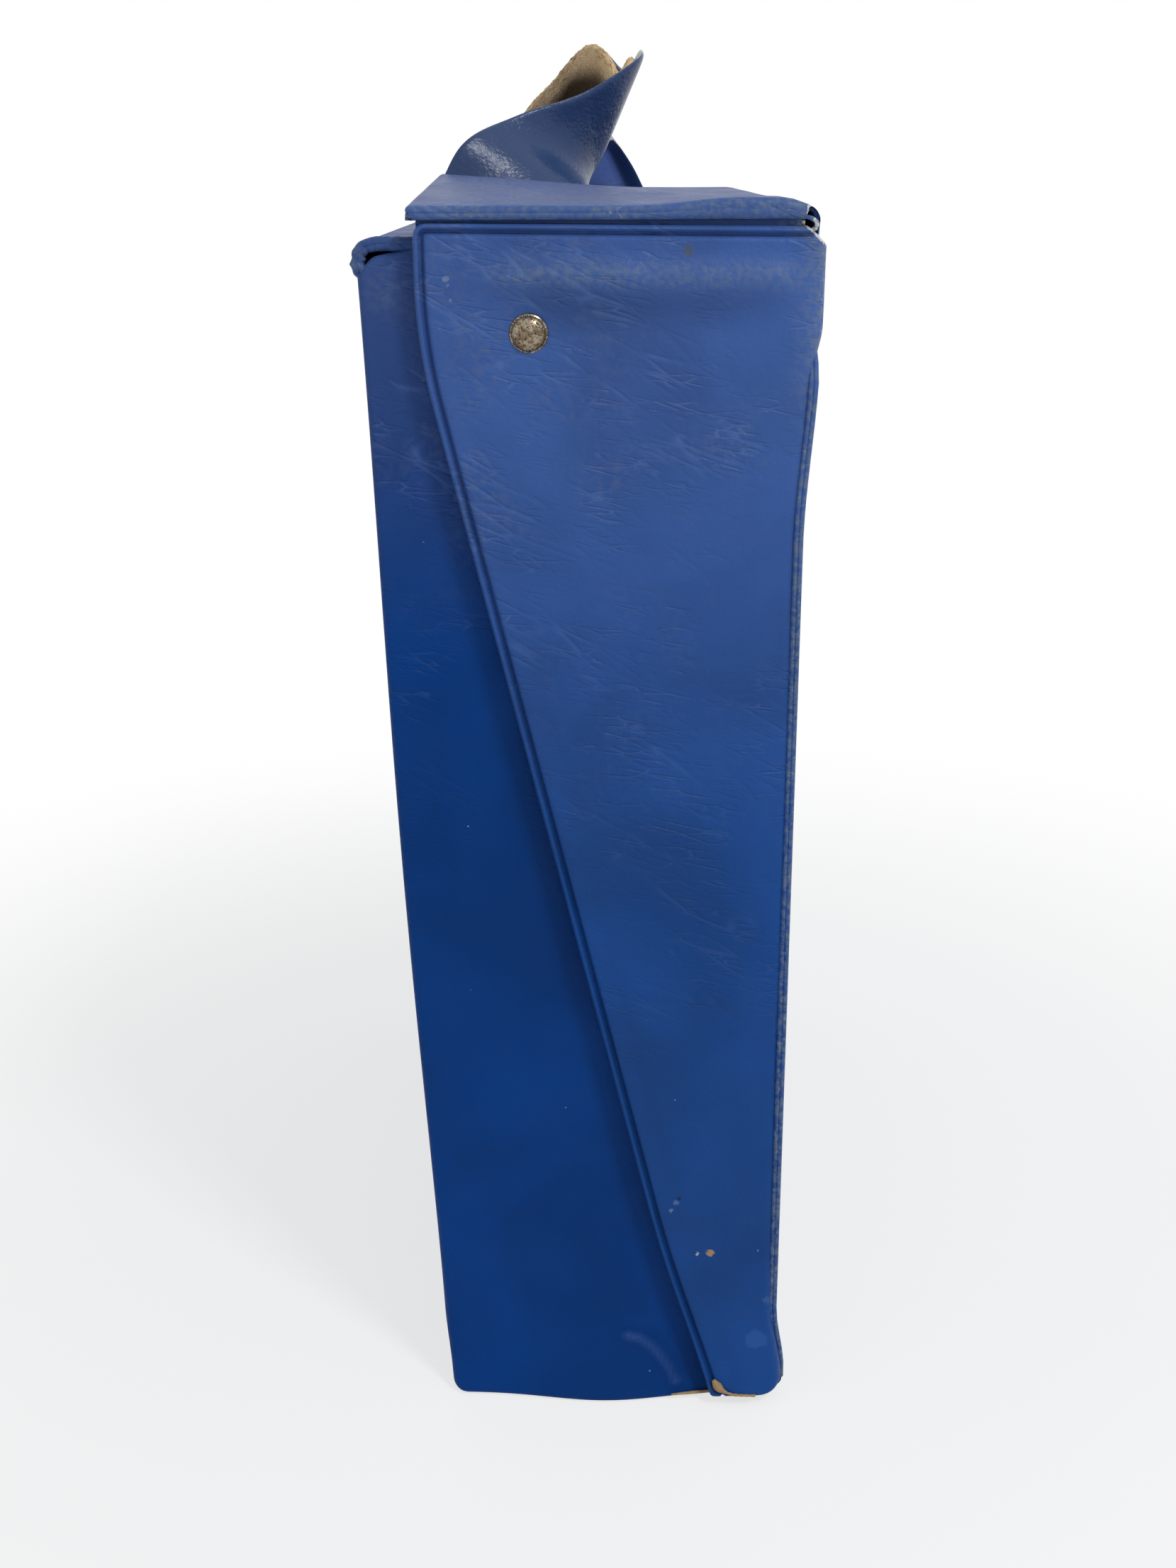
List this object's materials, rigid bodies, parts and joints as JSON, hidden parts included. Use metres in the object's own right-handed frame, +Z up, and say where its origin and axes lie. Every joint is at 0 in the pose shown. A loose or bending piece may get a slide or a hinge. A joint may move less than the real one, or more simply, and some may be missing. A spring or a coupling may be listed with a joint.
{
  "type": "lunch box",
  "caption": "Upright vinyl-over-cardboard lunch box: a tray and a fold-hinged lid with triangular side flaps, snap fasteners and a limp strap handle.",
  "frame": {"origin": "centre of the base, on the floor, under the middle of the lid's depth", "axes": "+Z up, +X from the front of the tray to the back of the lid, +Y along the box away from the pictured end"},
  "size_m": [0.084, 0.2064, 0.2863],
  "materials": {
    "blue_vinyl": "grained blue vinyl, half gloss, scuffed",
    "cardboard": "plain brown board",
    "lining": "smooth cream vinyl lining",
    "snap_metal": "tarnished plated brass, pitted",
    "clip_steel": "dull pressed steel",
    "felt": "fuzzy tan felt"
  },
  "bodies": {
    "tray": {"body_wrap_skin": "blue_vinyl", "front_board": "cardboard", "front_liner": "lining", "bottom_board": "cardboard", "bottom_liner": "lining", "near_side_skin": "blue_vinyl", "near_side_board": "cardboard", "near_side_liner": "lining", "near_snap_stud": "snap_metal", "near_snap_washer": "snap_metal", "far_side_skin": "blue_vinyl", "far_side_board": "cardboard", "far_side_liner": "lining", "far_snap_stud": "snap_metal", "far_snap_washer": "snap_metal"},
    "lid": {"lid_cover_skin": "blue_vinyl", "lid_back_board": "cardboard", "lid_back_liner": "lining", "lid_top_board": "cardboard", "lid_top_liner": "lining", "handle_strap": "blue_vinyl", "handle_backing": "felt", "near_flap_welt": "blue_vinyl", "near_flap_skin": "blue_vinyl", "near_flap_board": "cardboard", "near_flap_lining": "lining", "near_snap_cap": "snap_metal", "near_snap_socket": "snap_metal", "near_handle_clip": "clip_steel", "far_flap_welt": "blue_vinyl", "far_flap_skin": "blue_vinyl", "far_flap_board": "cardboard", "far_flap_lining": "lining", "far_snap_cap": "snap_metal", "far_snap_socket": "snap_metal", "far_handle_clip": "clip_steel"}
  },
  "joints": [
    {"name": "lid_hinge", "type": "hinge", "parent": "tray", "child": "lid", "pos_m": [0.037, 0, 0], "axis": [0, 1, 0], "range_deg": [0, 90]}
  ]
}
